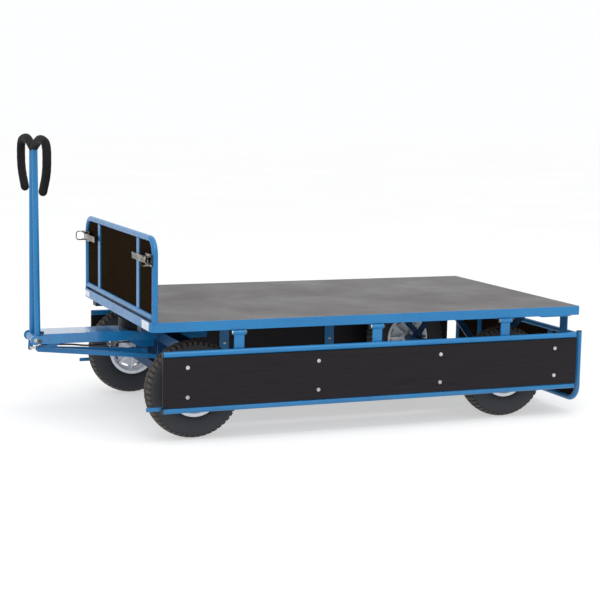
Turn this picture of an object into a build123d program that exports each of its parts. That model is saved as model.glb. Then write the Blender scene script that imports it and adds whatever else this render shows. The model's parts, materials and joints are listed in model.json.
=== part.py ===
"""Four-wheel turntable hand truck with drop sides: every sub-part as its own STEP file.

Frame: +X is forward, towards the tiller, +Y is the left side, +Z is up. Heights below are measured
from the ground, and every part is saved lowered by DECK_TOP, so the saved frame has its origin in the
middle of the deck's top face. Units are millimetres. The drop panels are drawn hanging.
"""

import math
import os

from build123d import *

os.makedirs("parts", exist_ok=True)

# --- bed ---
BED_LENGTH = 2000
BED_WIDTH = 1200
DECK_TOP = 500
RIM_HEIGHT = 40
RIM_WALL = 4
RIM_LEDGE = 30
RIM_RADIUS = 32
REAR_RADIUS = 8
BOARD_THICKNESS = 18
BOARD_PLAY = 1
RIM_BOTTOM = DECK_TOP - RIM_HEIGHT
BOARD_BOTTOM = DECK_TOP - BOARD_THICKNESS

# --- underframe ---
RAIL_WIDTH = 60
RAIL_HEIGHT = 40
RAIL_WALL = 3
RAIL_Y = 400
RAIL_TOP = BOARD_BOTTOM - RIM_WALL
RAIL_BOTTOM = RAIL_TOP - RAIL_HEIGHT
RAIL_END = BED_LENGTH / 2 - 8
CAP_THICKNESS = 4
CROSS_WIDTH = 40
OUTRIGGER_REACH = 590
RING_SUPPORT = 125

# --- wheels and axles ---
TYRE_RADIUS = 205
TYRE_WIDTH = 100
TRACK = 1004
FRONT_AXLE_X = 796
REAR_AXLE_X = -659
RIM_SEAT_RADIUS = 102
RIM_FLANGE_RADIUS = 112
RIM_HALF_WIDTH = 40
HUB_RADIUS = 30
HUB_HALF_LENGTH = 48
SPOKE_COUNT = 8
SPINDLE_RADIUS = 12.5
SPINDLE_PLAY = 0.08
HANGER_FOOT_Y = 346
HANGER_SPREAD = 207
HANGER_VERTEX_Z = 240
AXLE_SIZE = 40
AXLE_HALF_LENGTH = 440
WHEEL_Y = TRACK / 2

# --- turntable and drawbar ---
RING_RADIUS = 182
RING_WALL = 7
RING_FLANGE = 40
BALL_RADIUS = 8
BALL_COUNT = 26
ARM_TOP = 390
ARM_HEIGHT = 43
ARM_WIDTH = 160
ARM_WALL = 5
ARM_REAR = 600
ARM_FRONT = 1332
POCKET_LENGTH = 44
PIVOT_X = 1364
PIVOT_Z = 365
EAR_RADIUS = 21
EAR_THICKNESS = 8
EAR_OUT = 4
BOLSTER_BOTTOM = 342
BOLSTER_WIDTH = 68
BOLSTER_TOP_HALF = 420
BOLSTER_BOTTOM_HALF = 300
HANGER_Y = (90, 290)
STRUT_HEIGHT = 20
STRUT_WIDTH = 12
STRUT_FRONT = (1345, 15, 315)
STRUT_REAR = (812, 80, 270)
ADJUSTER_X = (988, 1026)
GUARD_Y = 34
GUARD_FRONT = 950
CABLE_RADIUS = 4
CABLE_REAR_Y = 15
CABLE_REAR_Z = 324
CABLE_END_Y = 6
CABLE_END_Z = 331

# --- tiller ---
TILLER_TUBE_RADIUS = 12.5
TILLER_TUBE_X = 1352
TILLER_FOOT_Y = 62
TILLER_HEAD_Y = 27.5
TILLER_HEAD_Z = 1178
BARREL_RADIUS = 16
BARREL_HALF = 75.4
LUG_REACH = 45
LUG_THICKNESS = 8
HANDLE_RADIUS = 11
GRIP_RADIUS = 18
GRIP_START_Y = 12

# --- drop panels ---
TUBE_RADIUS = 12.5
TUBE_WALL = 2
PANEL_OFFSET = 15
TAIL_OFFSET = 9
HINGE_Y = BED_WIDTH / 2 + 5
HINGE_X_REAR = -(BED_LENGTH / 2 + 5)
HINGE_Z = 448.7
SIDE_LENGTH_FRONT = 960
SIDE_LENGTH_REAR = 970
SIDE_TOP_TUBE_Z = 372
SIDE_BOTTOM_TUBE_Z = 142
HINGE_SPACING = 622
HINGE_CENTRE_X = 8
STRAP_WIDTH = 44
STRAP_THICKNESS = 5
SLEEVE_RADIUS = 9.5
PIN_RADIUS = 5
PIN_PLAY = 0.08
LUG_PLATE = 5
PANEL_BOARD = 12
BAR_WIDTH = 50
BAR_THICKNESS = 6
SIDE_BAR_X = (-857, -285, 285, 857)
SIDE_BOLT_Z = (195.5, 318)
STRIKER_THICKNESS = 7.5
STRIKER_HEIGHT = 16
STRIKER_TIP = 1022
BOLT_HEAD_RADIUS = 8.5

# --- headboard and tail panel ---
HEAD_X = 982
HEAD_POST_Y = 586
HEAD_TOP = 846
HEAD_BEND = 66
HEAD_CROSS_Z = 515.5
TAIL_POST_Y = 580
TAIL_FOOT_Z = 384
TAIL_BOTTOM = 52
TAIL_CROSS_Z = 362.5
TAIL_STRAP_Y = 470
TAIL_STRAP_WIDTH = 60
BAR_Y = 342
END_BAR_WIDTH = 38
BLIND_DEPTH = 5

# --- latches on the headboard ---
LATCH_Z = 750
LATCH_OUT = 22
LEVER_PIVOT_Y = 560
LEVER_END_Y = 335
LEVER_HEIGHT = 26
LEVER_SHEET = 2.5
BAIL_PIVOT_Y = 583
BAIL_REACH = 36
BAIL_WIRE = 2.5
LATCH_EAR_GAP = 28
LATCH_EAR = 3
LATCH_PLATE_HEIGHT = 48


def block(x0, x1, y0, y1, z0, z1):
    """An axis-aligned box between two corners."""
    size = (abs(x1 - x0), abs(y1 - y0), abs(z1 - z0))
    return Pos((x0 + x1) / 2, (y0 + y1) / 2, (z0 + z1) / 2) * Box(*size)


def rod_x(x0, x1, y, z, radius):
    """A round bar along X."""
    return Pos((x0 + x1) / 2, y, z) * Rot(0, 90, 0) * Cylinder(radius, abs(x1 - x0))


def rod_y(x, y0, y1, z, radius):
    """A round bar along Y."""
    return Pos(x, (y0 + y1) / 2, z) * Rot(90, 0, 0) * Cylinder(radius, abs(y1 - y0))


def rod_z(x, y, z0, z1, radius):
    """A round bar along Z."""
    return Pos(x, y, (z0 + z1) / 2) * Cylinder(radius, abs(z1 - z0))


def plate_xz(points, y0, y1):
    """A flat plate with an outline in X and Z, between two Y planes."""
    face = Plane.XZ * make_face(Polyline(*points, close=True))
    return Pos(0, y1, 0) * extrude(face, amount=y1 - y0)


def plate_yz(points, x0, x1):
    """A flat plate with an outline in Y and Z, between two X planes."""
    face = Plane.YZ * make_face(Polyline(*points, close=True))
    return Pos(x0, 0, 0) * extrude(face, amount=x1 - x0)


def sweep_round(path, radius):
    """A round bar along a path."""
    section = Plane(path @ 0, z_dir=path % 0) * Circle(radius)
    return sweep(section, path=path)


def mirrored_y(shape):
    """The same shape on the other side of the truck."""
    return mirror(shape, about=Plane.XZ)


def save(node, shapes):
    """Write one node, as one solid or as a group of separate solids."""
    solids = [Pos(0, 0, -DECK_TOP) * solid for shape in shapes for solid in shape.solids()]
    shape = solids[0] if len(solids) == 1 else Compound(children=solids)
    shape.label = node
    export_step(shape, f"parts/{node}.step")


# ------------------------------------------------------------------ bed


def rounded_slab(length, width, inset, z0, z1):
    """A slab with large vertical corner radii at the front and small ones at the rear."""
    slab = block(-length / 2, length / 2, -width / 2, width / 2, z0, z1)
    corners = slab.edges().filter_by(Axis.Z).sort_by(Axis.X)
    slab = fillet(corners[2:], RIM_RADIUS - inset)
    corners = slab.edges().filter_by(Axis.Z).sort_by(Axis.X)
    return fillet(corners[:2], REAR_RADIUS - inset)


def bed_rim():
    """The edge profile: an upstand all round with a ledge inside that carries the board."""
    wall = rounded_slab(BED_LENGTH, BED_WIDTH, 0, RIM_BOTTOM, DECK_TOP)
    inner = (BED_LENGTH - 2 * RIM_WALL, BED_WIDTH - 2 * RIM_WALL)
    wall -= rounded_slab(*inner, RIM_WALL, RIM_BOTTOM - 1, DECK_TOP + 1)
    ledge = rounded_slab(BED_LENGTH - RIM_WALL, BED_WIDTH - RIM_WALL, 2, RAIL_TOP, BOARD_BOTTOM)
    hole = (BED_LENGTH - 2 * RIM_LEDGE, BED_WIDTH - 2 * RIM_LEDGE)
    ledge -= block(-hole[0] / 2, hole[0] / 2, -hole[1] / 2, hole[1] / 2, 0, DECK_TOP)
    return wall + ledge


def deck_board():
    """The coated plywood board, let into the rim."""
    inset = 2 * (RIM_WALL + BOARD_PLAY)
    size = (BED_LENGTH - inset, BED_WIDTH - inset)
    board = rounded_slab(*size, RIM_WALL + BOARD_PLAY, BOARD_BOTTOM, DECK_TOP)
    corner = post_corner(0.5, BOARD_BOTTOM - 1, DECK_TOP + 1)
    return board - corner - mirrored_y(corner)


def post_corner(play, z0, z1):
    """The left front corner of the deck, around the foot of the headboard's post."""
    reach = TUBE_RADIUS + play
    return block(HEAD_X - reach, BED_LENGTH / 2, HEAD_POST_Y - reach, BED_WIDTH / 2, z0, z1)


def post_foot():
    """The block that fills the left front corner down to the ledge and carries the post."""
    inset = 2 * (RIM_WALL + 0.2)
    size = (BED_LENGTH - inset, BED_WIDTH - inset)
    slab = rounded_slab(*size, RIM_WALL + 0.2, BOARD_BOTTOM, DECK_TOP)
    return slab & post_corner(0, BOARD_BOTTOM, DECK_TOP)


def underframe_rail(y):
    """One long box-section rail under the bed."""
    half = RAIL_WIDTH / 2
    rail = block(-RAIL_END, RAIL_END, y - half, y + half, RAIL_BOTTOM, RAIL_TOP)
    half -= RAIL_WALL
    return rail - block(
        -RAIL_END - 1, RAIL_END + 1, y - half, y + half, RAIL_BOTTOM + RAIL_WALL, RAIL_TOP - RAIL_WALL
    )


def rail_cap(x, y):
    """A plastic cap on one end of a rail, with its plug inside the rail."""
    side = 1 if x > 0 else -1
    half = RAIL_WIDTH / 2
    flange = block(x, x + side * CAP_THICKNESS, y - half, y + half, RAIL_BOTTOM, RAIL_TOP)
    half -= RAIL_WALL + 0.5
    plug_z = (RAIL_BOTTOM + RAIL_WALL + 0.5, RAIL_TOP - RAIL_WALL - 0.5)
    return flange + block(x - side * 12, x, y - half, y + half, *plug_z)


def bed_crossmembers():
    """The cross tubes between the rails, and the outriggers from the rails to the rim."""
    inner = RAIL_Y - RAIL_WIDTH / 2
    half = CROSS_WIDTH / 2
    places = [FRONT_AXLE_X + RING_SUPPORT, FRONT_AXLE_X - RING_SUPPORT, 0, REAR_AXLE_X, -960]
    pieces = [block(x - half, x + half, -inner, inner, RAIL_BOTTOM, RAIL_TOP) for x in places]
    outer = RAIL_Y + RAIL_WIDTH / 2
    for x in hinge_places():
        piece = block(x - half, x + half, outer, OUTRIGGER_REACH, RAIL_BOTTOM + 10, RAIL_TOP)
        pieces += [piece, mirrored_y(piece)]
    return pieces


# ------------------------------------------------------------------ hinges of the drop panels


def hinge_places():
    """The X places of the three hinges on each long side."""
    return [HINGE_CENTRE_X + HINGE_SPACING * step for step in (1, 0, -1)]


def side_hinge_lug(x):
    """One fixed lug of a side hinge, hanging from the lower edge of the rim."""
    disc = rod_x(x, x + LUG_PLATE, HINGE_Y, HINGE_Z, SLEEVE_RADIUS)
    neck = block(x, x + LUG_PLATE, BED_WIDTH / 2 - RIM_WALL, HINGE_Y + 6, HINGE_Z, RIM_BOTTOM)
    hole = rod_x(x - 1, x + LUG_PLATE + 1, HINGE_Y, HINGE_Z, PIN_RADIUS)
    return disc + neck - hole


def tail_hinge_lug(y):
    """One fixed lug of a tail hinge."""
    disc = rod_y(HINGE_X_REAR, y, y + LUG_PLATE, HINGE_Z, SLEEVE_RADIUS)
    neck_x = (HINGE_X_REAR - 6, -BED_LENGTH / 2 + RIM_WALL)
    neck = block(*neck_x, y, y + LUG_PLATE, HINGE_Z, RIM_BOTTOM)
    hole = rod_y(HINGE_X_REAR, y - 1, y + LUG_PLATE + 1, HINGE_Z, PIN_RADIUS)
    return disc + neck - hole


def hinge_brackets():
    """All fixed hinge lugs, and the flat plate under the rim at each rear corner."""
    gap = STRAP_WIDTH / 2 + 0.5
    pieces = []
    for x in hinge_places():
        for lug in (side_hinge_lug(x + gap), side_hinge_lug(x - gap - LUG_PLATE)):
            pieces += [lug, mirrored_y(lug)]
    gap = TAIL_STRAP_WIDTH / 2 + 0.5
    for lug in (tail_hinge_lug(TAIL_STRAP_Y + gap), tail_hinge_lug(TAIL_STRAP_Y - gap - LUG_PLATE)):
        pieces += [lug, mirrored_y(lug)]
    plate = block(-940, -805, BED_WIDTH / 2 - 45, BED_WIDTH / 2 - 2, RIM_BOTTOM - 5, RIM_BOTTOM)
    return pieces + [plate, mirrored_y(plate)]


def hinge_pins():
    """The hinge pins, each with a head at both ends."""
    pieces = []
    reach = STRAP_WIDTH / 2 + 0.5 + LUG_PLATE
    for x in hinge_places():
        pin = rod_x(x - reach, x + reach, HINGE_Y, HINGE_Z, PIN_RADIUS)
        pin += rod_x(x + reach, x + reach + 5, HINGE_Y, HINGE_Z, SLEEVE_RADIUS - 1)
        pin += rod_x(x - reach - 5, x - reach, HINGE_Y, HINGE_Z, SLEEVE_RADIUS - 1)
        pieces += [pin, mirrored_y(pin)]
    reach = TAIL_STRAP_WIDTH / 2 + 0.5 + LUG_PLATE
    y = TAIL_STRAP_Y
    pin = rod_y(HINGE_X_REAR, y - reach, y + reach, HINGE_Z, PIN_RADIUS)
    pin += rod_y(HINGE_X_REAR, y + reach, y + reach + 5, HINGE_Z, SLEEVE_RADIUS - 1)
    pin += rod_y(HINGE_X_REAR, y - reach - 5, y - reach, HINGE_Z, SLEEVE_RADIUS - 1)
    return pieces + [pin, mirrored_y(pin)]


# ------------------------------------------------------------------ drop panels


def bolt(x, z, head_y, nut_y):
    """A round-head bolt along Y, with its nut: the head's seat and the nut's seat are given."""
    side = 1 if head_y > nut_y else -1
    shank = rod_y(x, nut_y - side * 9, head_y, z, 4)
    head = rod_y(x, head_y, head_y + side * 3.5, z, BOLT_HEAD_RADIUS)
    nut = rod_y(x, nut_y - side * 6.5, nut_y, z, 7)
    return shank + head + nut


def side_panel_frame():
    """The left side's welded frame: two tubes, flat bars, hinge straps and the striker at the front."""
    y = HINGE_Y + PANEL_OFFSET
    ends = (3 - SIDE_LENGTH_REAR, SIDE_LENGTH_FRONT - 3)
    frame = rod_x(*ends, y, SIDE_TOP_TUBE_Z, TUBE_RADIUS)
    frame += rod_x(*ends, y, SIDE_BOTTOM_TUBE_Z, TUBE_RADIUS)
    bar_z = (SIDE_BOTTOM_TUBE_Z + TUBE_RADIUS - 2, SIDE_TOP_TUBE_Z - TUBE_RADIUS + 2)
    for x in SIDE_BAR_X:
        frame += block(x - BAR_WIDTH / 2, x + BAR_WIDTH / 2, y - BAR_THICKNESS, y, *bar_z)
    strap_y = (y - TUBE_RADIUS + 1 - STRAP_THICKNESS, y - TUBE_RADIUS + 1)
    for x in hinge_places():
        ends_x = (x - STRAP_WIDTH / 2, x + STRAP_WIDTH / 2)
        frame += block(*ends_x, *strap_y, SIDE_TOP_TUBE_Z - 8, HINGE_Z)
        frame += rod_x(*ends_x, HINGE_Y, HINGE_Z, SLEEVE_RADIUS)
    striker_y = (y - TUBE_RADIUS - STRIKER_THICKNESS + 0.5, y - TUBE_RADIUS + 0.5)
    half = STRIKER_HEIGHT / 2
    striker_z = (SIDE_BOTTOM_TUBE_Z + 6 - half, SIDE_BOTTOM_TUBE_Z + 6 + half)
    frame += block(SIDE_LENGTH_FRONT - 80, STRIKER_TIP, *striker_y, *striker_z)
    for z in (SIDE_TOP_TUBE_Z, SIDE_BOTTOM_TUBE_Z):
        frame -= rod_x(ends[0] - 1, ends[1] + 1, y, z, TUBE_RADIUS - TUBE_WALL)
    for x in hinge_places():
        reach = STRAP_WIDTH / 2 + 1
        frame -= rod_x(x - reach, x + reach, HINGE_Y, HINGE_Z, PIN_RADIUS + PIN_PLAY)
    for x in SIDE_BAR_X:
        for z in SIDE_BOLT_Z:
            frame -= rod_y(x, y - BAR_THICKNESS - 1, y + 1, z, 4)
    return frame


def side_panel_board():
    """The left side's board, between the two tubes."""
    y = HINGE_Y + PANEL_OFFSET
    board = block(
        -SIDE_LENGTH_REAR, SIDE_LENGTH_FRONT, y, y + PANEL_BOARD, SIDE_BOTTOM_TUBE_Z, SIDE_TOP_TUBE_Z
    )
    for z in (SIDE_TOP_TUBE_Z, SIDE_BOTTOM_TUBE_Z):
        board -= rod_x(-BED_LENGTH, BED_LENGTH, y, z, TUBE_RADIUS + 0.2)
    board -= block(-BED_LENGTH, BED_LENGTH, y - 1, y + 20, SIDE_TOP_TUBE_Z - TUBE_RADIUS - 0.2, HINGE_Z)
    board -= block(-BED_LENGTH, BED_LENGTH, y - 1, y + 20, 0, SIDE_BOTTOM_TUBE_Z + TUBE_RADIUS + 0.2)
    for x in SIDE_BAR_X:
        for z in SIDE_BOLT_Z:
            board -= rod_y(x, y - 1, y + PANEL_BOARD + 1, z, 4)
    return board


def side_panel_bolts():
    """The left side's eight bolts."""
    y = HINGE_Y + PANEL_OFFSET
    places = [(x, z) for x in SIDE_BAR_X for z in SIDE_BOLT_Z]
    return [bolt(x, z, y + PANEL_BOARD, y - BAR_THICKNESS) for x, z in places]


def side_panel_caps():
    """The plastic caps in the ends of the left side's two tubes."""
    y = HINGE_Y + PANEL_OFFSET
    pieces = []
    for z in (SIDE_TOP_TUBE_Z, SIDE_BOTTOM_TUBE_Z):
        for x, side in ((SIDE_LENGTH_FRONT - 3, 1), (3 - SIDE_LENGTH_REAR, -1)):
            cap = rod_x(x, x + side * 3, y, z, TUBE_RADIUS - 0.5)
            cap += rod_x(x - side * 10, x, y, z, TUBE_RADIUS - TUBE_WALL - 0.2)
            pieces.append(cap)
    return pieces


def arch(post_y, foot_z, top_z, x):
    """The path of a tube bent into an arch in a plane across the truck."""
    crown = top_z - TUBE_RADIUS if top_z > foot_z else top_z + TUBE_RADIUS
    points = [(x, -post_y, foot_z), (x, -post_y, crown), (x, post_y, crown), (x, post_y, foot_z)]
    return FilletPolyline(*points, radius=HEAD_BEND)


def end_frame(post_y, foot_z, top_z, cross_z, x, bar_x):
    """A bent tube arch with a cross tube and two flat bars, as on the headboard and the tail."""
    path = arch(post_y, foot_z, top_z, x)
    frame = sweep_round(path, TUBE_RADIUS)
    frame += rod_y(x, -post_y, post_y, cross_z, TUBE_RADIUS)
    crown = top_z - TUBE_RADIUS if top_z > foot_z else top_z + TUBE_RADIUS
    for y in (-BAR_Y, BAR_Y):
        frame += block(*bar_x, y - END_BAR_WIDTH / 2, y + END_BAR_WIDTH / 2, cross_z, crown)
    frame -= sweep_round(path, TUBE_RADIUS - TUBE_WALL)
    frame -= rod_y(x, -post_y + TUBE_RADIUS, post_y - TUBE_RADIUS, cross_z, TUBE_RADIUS - TUBE_WALL)
    for place in end_bolt_places(cross_z, crown):
        frame -= rod_x(bar_x[0] - 1, bar_x[0] + BLIND_DEPTH, *place, 4)
    return frame


def end_bolt_places(cross_z, crown):
    """The Y and Z places of the four bolts through the bars of an end panel."""
    low, high = sorted((cross_z, crown))
    return [(y, z) for y in (-BAR_Y, BAR_Y) for z in (low + 82, high - 82)]


def end_board(post_y, cross_z, crown, x0, x1, tube_x):
    """The board inside an end panel's arch, with its two outer corners rounded like the arch."""
    low, high = sorted((cross_z, crown))
    half = post_y - TUBE_RADIUS - 0.2
    face = Pos(0, (low + high) / 2) * RectangleRounded(2 * half, high - low - 2 * TUBE_RADIUS - 0.4, 1)
    board = Pos(x0, 0, 0) * extrude(Plane.YZ * face, amount=x1 - x0)
    inner_bend = HEAD_BEND - TUBE_RADIUS - 0.2
    side = 1 if crown > cross_z else -1
    edge = crown - side * (TUBE_RADIUS + 0.2)
    for sign in (-1, 1):
        corner_y = sign * half
        centre = (sign * (half - inner_bend), edge - side * inner_bend)
        waste = block(x0 - 1, x1 + 1, corner_y, centre[0], edge, centre[1])
        waste -= rod_x(x0 - 2, x1 + 2, *centre, inner_bend)
        board -= waste
    for place in end_bolt_places(cross_z, crown):
        board -= rod_x(x0 - 1, x1 + 1, *place, 4)
    return board


def end_bolts(cross_z, crown, bar_x):
    """The four bolts of an end panel, along X, screwed into the back of the bars."""
    pieces = []
    head_x = bar_x - PANEL_BOARD
    for place in end_bolt_places(cross_z, crown):
        piece = rod_x(head_x, bar_x + BLIND_DEPTH, *place, 4)
        pieces.append(piece + rod_x(head_x - 3.5, head_x, *place, BOLT_HEAD_RADIUS))
    return pieces


def tail_strap(y):
    """One hinge strap of the tail panel with its sleeve."""
    x = HINGE_X_REAR - TAIL_OFFSET + TUBE_RADIUS - 1
    half = TAIL_STRAP_WIDTH / 2
    strap = block(x, x + STRAP_THICKNESS, y - half, y + half, TAIL_CROSS_Z - 8, HINGE_Z)
    return strap + rod_y(HINGE_X_REAR, y - half, y + half, HINGE_Z, SLEEVE_RADIUS)


def tail_frame():
    """The tail panel's welded frame, hanging."""
    x = HINGE_X_REAR - TAIL_OFFSET
    outer = (x, x + BAR_THICKNESS)
    frame = end_frame(TAIL_POST_Y, TAIL_FOOT_Z - 3, TAIL_BOTTOM, TAIL_CROSS_Z, x, outer)
    inner_cut = rod_y(x, -TAIL_POST_Y + 20, TAIL_POST_Y - 20, TAIL_CROSS_Z, TUBE_RADIUS - TUBE_WALL)
    for y in (-TAIL_STRAP_Y, TAIL_STRAP_Y):
        frame += tail_strap(y)
        reach = TAIL_STRAP_WIDTH / 2 + 1
        frame -= rod_y(HINGE_X_REAR, y - reach, y + reach, HINGE_Z, PIN_RADIUS + PIN_PLAY)
    return frame - inner_cut


def tail_caps():
    """The plastic caps in the two open ends of the tail panel's arch."""
    x = HINGE_X_REAR - TAIL_OFFSET
    cap = rod_z(x, TAIL_POST_Y, TAIL_FOOT_Z - 3, TAIL_FOOT_Z, TUBE_RADIUS)
    cap += rod_z(x, TAIL_POST_Y, TAIL_FOOT_Z - 10, TAIL_FOOT_Z - 3, TUBE_RADIUS - TUBE_WALL - 0.2)
    return [cap, mirrored_y(cap)]


# ------------------------------------------------------------------ latches on the headboard


def latch_base():
    """The left latch's base: a plate on the post, two ears, and the lever's pin between them."""
    face = HEAD_X + TUBE_RADIUS
    half = LATCH_PLATE_HEIGHT / 2
    pivot_x = HEAD_X + LATCH_OUT
    base = block(face, face + 3, LEVER_PIVOT_Y - 62, HEAD_POST_Y + 9, LATCH_Z - half, LATCH_Z + half)
    for side in (-1, 1):
        inner = LATCH_Z + side * LATCH_EAR_GAP / 2
        outer = inner + side * LATCH_EAR
        ear = block(face + 1, pivot_x, LEVER_PIVOT_Y - 12, BAIL_PIVOT_Y + 8, inner, outer)
        ear += rod_z(pivot_x, LEVER_PIVOT_Y, inner, outer, 10)
        ear += rod_z(pivot_x, BAIL_PIVOT_Y, inner, outer, 8)
        ear += block(pivot_x - 1, pivot_x + 6, LEVER_PIVOT_Y, BAIL_PIVOT_Y, inner, outer)
        ear -= rod_z(pivot_x, BAIL_PIVOT_Y, inner - 9, inner + 9, BAIL_WIRE + PIN_PLAY)
        base += ear
        base += rod_z(pivot_x, LEVER_PIVOT_Y, outer, outer + side * 2, 5.5)
    reach = LATCH_EAR_GAP / 2 + 1
    return base + rod_z(pivot_x, LEVER_PIVOT_Y, LATCH_Z - reach, LATCH_Z + reach, 3.5)


def latch_foot():
    """The block that carries the inner end of the latch plate on the headboard's board."""
    half = LATCH_PLATE_HEIGHT / 2 - 6
    face = HEAD_X + TUBE_RADIUS
    return block(HEAD_X, face, LEVER_PIVOT_Y - 60, LEVER_PIVOT_Y - 44, LATCH_Z - half, LATCH_Z + half)


def latch_lever():
    """The left latch's lever: a channel that lies inwards across the headboard when closed."""
    pivot_x = HEAD_X + LATCH_OUT
    half = LEVER_HEIGHT / 2
    back = pivot_x + 7
    lever = block(back - LEVER_SHEET, back, LEVER_END_Y, LEVER_PIVOT_Y - 14, LATCH_Z - half, LATCH_Z + half)
    for z in (LATCH_Z - half, LATCH_Z + half - LEVER_SHEET):
        lever += block(pivot_x - 5, back, LEVER_END_Y + 22, LEVER_PIVOT_Y, z, z + LEVER_SHEET)
        lever += rod_z(pivot_x, LEVER_PIVOT_Y, z, z + LEVER_SHEET, 6)
    return lever - rod_z(pivot_x, LEVER_PIVOT_Y, LATCH_Z - 20, LATCH_Z + 20, 3.5 + PIN_PLAY)


def latch_bail():
    """The left latch's wire bail, standing forward from its two holes in the ears."""
    pivot_x = HEAD_X + LATCH_OUT
    leg = LATCH_EAR_GAP / 2 + LATCH_EAR + BAIL_WIRE + 0.5
    stub = LATCH_EAR_GAP / 2 - 0.3
    tip = pivot_x + BAIL_REACH
    points = [
        (pivot_x, BAIL_PIVOT_Y, LATCH_Z - stub),
        (pivot_x, BAIL_PIVOT_Y, LATCH_Z - leg),
        (tip, BAIL_PIVOT_Y, LATCH_Z - leg),
        (tip, BAIL_PIVOT_Y, LATCH_Z + leg),
        (pivot_x, BAIL_PIVOT_Y, LATCH_Z + leg),
        (pivot_x, BAIL_PIVOT_Y, LATCH_Z + stub),
    ]
    return sweep_round(FilletPolyline(*points, radius=[2.6, 12, 12, 2.6]), BAIL_WIRE)


# ------------------------------------------------------------------ wheels


def tyre(x, y):
    """A pneumatic tyre as a carcass with its air space."""
    bead = (RIM_SEAT_RADIUS + 0.3, RIM_HALF_WIDTH - 6.6)
    lip = (RIM_FLANGE_RADIUS + 0.4, RIM_HALF_WIDTH - 4.5)
    shoulder = (TYRE_RADIUS - 8, 38)
    side = Spline(lip, (132, 47), (158, TYRE_WIDTH / 2), (182, 47.5), shoulder)
    crown = ThreePointArc(shoulder, (TYRE_RADIUS - 2.2, 20), (TYRE_RADIUS, 0))
    middle = Line((TYRE_RADIUS, 0), (bead[0], 0))
    face = make_face([Line((bead[0], 0), bead), Line(bead, lip), side, crown, middle])
    half = revolve(Plane.XY * face, axis=Axis.Y)
    air = revolve(Pos(153, 0) * Ellipse(37, 36), axis=Axis.Y)
    whole = half + mirror(half, about=Plane.XZ) - air
    return Pos(x, y, TYRE_RADIUS) * whole


def wheel_rib():
    """One rib: a fin on both sides of the web, tall at the hub and low at the rim."""
    root = HUB_RADIUS - 6
    end = RIM_SEAT_RADIUS - 9
    outline = [(root, -38), (root + 22, -33), (end, -20), (end, 20), (root + 22, 33), (root, 38)]
    return extrude(make_face(Polyline(*outline, close=True)), amount=3.5, both=True)


def wheel_rim(x, y):
    """The rim barrel, the web with its slots, the ribs on both sides and the hub."""
    seat = RIM_SEAT_RADIUS
    flange = RIM_FLANGE_RADIUS
    half = RIM_HALF_WIDTH
    points = [
        (flange, half),
        (flange, half - 4),
        (seat, half - 6),
        (seat, 6 - half),
        (flange, 4 - half),
        (flange, -half),
        (seat - 4, -half),
        (seat - 10, -12),
        (seat - 10, 12),
        (seat - 4, half),
    ]
    rim = revolve(make_face(Polyline(*points, close=True)), axis=Axis.Y)
    rim += rod_y(0, -5, 5, 0, seat - 8)
    rib = wheel_rib()
    slot = Rot(90, 0, 0) * extrude(Pos(78, 0) * Rot(0, 0, 90) * SlotOverall(36, 9), amount=20, both=True)
    for step in range(SPOKE_COUNT):
        angle = 360 / SPOKE_COUNT * step
        rim += Rot(0, angle, 0) * rib
        rim -= Rot(0, angle + 180 / SPOKE_COUNT, 0) * slot
    rim += rod_y(0, -HUB_HALF_LENGTH, HUB_HALF_LENGTH, 0, HUB_RADIUS)
    rim -= rod_y(0, -60, 60, 0, SPINDLE_RADIUS + SPINDLE_PLAY)
    return Pos(x, y, TYRE_RADIUS) * rim


def axle_beam(x):
    """A square axle beam with a turned spindle at each end."""
    half = AXLE_SIZE / 2
    beam = block(
        x - half, x + half, -AXLE_HALF_LENGTH, AXLE_HALF_LENGTH, TYRE_RADIUS - half, TYRE_RADIUS + half
    )
    inner = WHEEL_Y - HUB_HALF_LENGTH - 0.5
    outer = WHEEL_Y + HUB_HALF_LENGTH + 14
    for sign in (-1, 1):
        beam += rod_y(x, sign * (AXLE_HALF_LENGTH - 1), sign * inner, TYRE_RADIUS, 20)
        beam += rod_y(x, sign * (inner - 1), sign * outer, TYRE_RADIUS, SPINDLE_RADIUS)
    return beam


def spindle_nuts(x):
    """The washer and crown nut on each spindle of an axle."""
    start = WHEEL_Y + HUB_HALF_LENGTH + 0.5
    pieces = []
    for sign in (-1, 1):
        washer = rod_y(x, sign * start, sign * (start + 3), TYRE_RADIUS, 22)
        nut = Pos(x, sign * (start + 8.5), TYRE_RADIUS) * Rot(90, 0, 0) * extrude(
            RegularPolygon(20, 6), amount=5.5, both=True
        )
        piece = washer + nut
        piece -= rod_y(x, 0, sign * (start + 30), TYRE_RADIUS, SPINDLE_RADIUS)
        pieces.append(piece)
    return pieces


def hanger_leg(side_x, side_y):
    """One leg of a rear V hanger, from the top of the axle out to the rail."""
    foot = Vector(REAR_AXLE_X, side_y * HANGER_FOOT_Y, HANGER_VERTEX_Z)
    head = Vector(REAR_AXLE_X + side_x * HANGER_SPREAD, side_y * RAIL_Y, RAIL_TOP)
    run = head - foot
    plane = Plane(origin=foot, x_dir=(0, 1, 0), z_dir=run)
    leg = extrude(plane * Rectangle(10, 28), amount=run.length)
    return leg & block(-1100, 0, -600, 600, TYRE_RADIUS + AXLE_SIZE / 2, RAIL_BOTTOM)


def rear_hangers():
    """The two V hangers between the rear axle and the rails, each with a foot plate."""
    pieces = []
    axle_top = TYRE_RADIUS + AXLE_SIZE / 2
    for side_y in (-1, 1):
        foot_y = (side_y * (HANGER_FOOT_Y - 8), side_y * (HANGER_FOOT_Y + 16))
        foot = block(REAR_AXLE_X - 42, REAR_AXLE_X + 42, *foot_y, axle_top, axle_top + 8)
        foot += block(REAR_AXLE_X - 20, REAR_AXLE_X + 20, *foot_y, axle_top, HANGER_VERTEX_Z + 10)
        pieces.append(hanger_leg(-1, side_y) + hanger_leg(1, side_y) + foot)
    return pieces


# ------------------------------------------------------------------ turntable and front bogie


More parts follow.
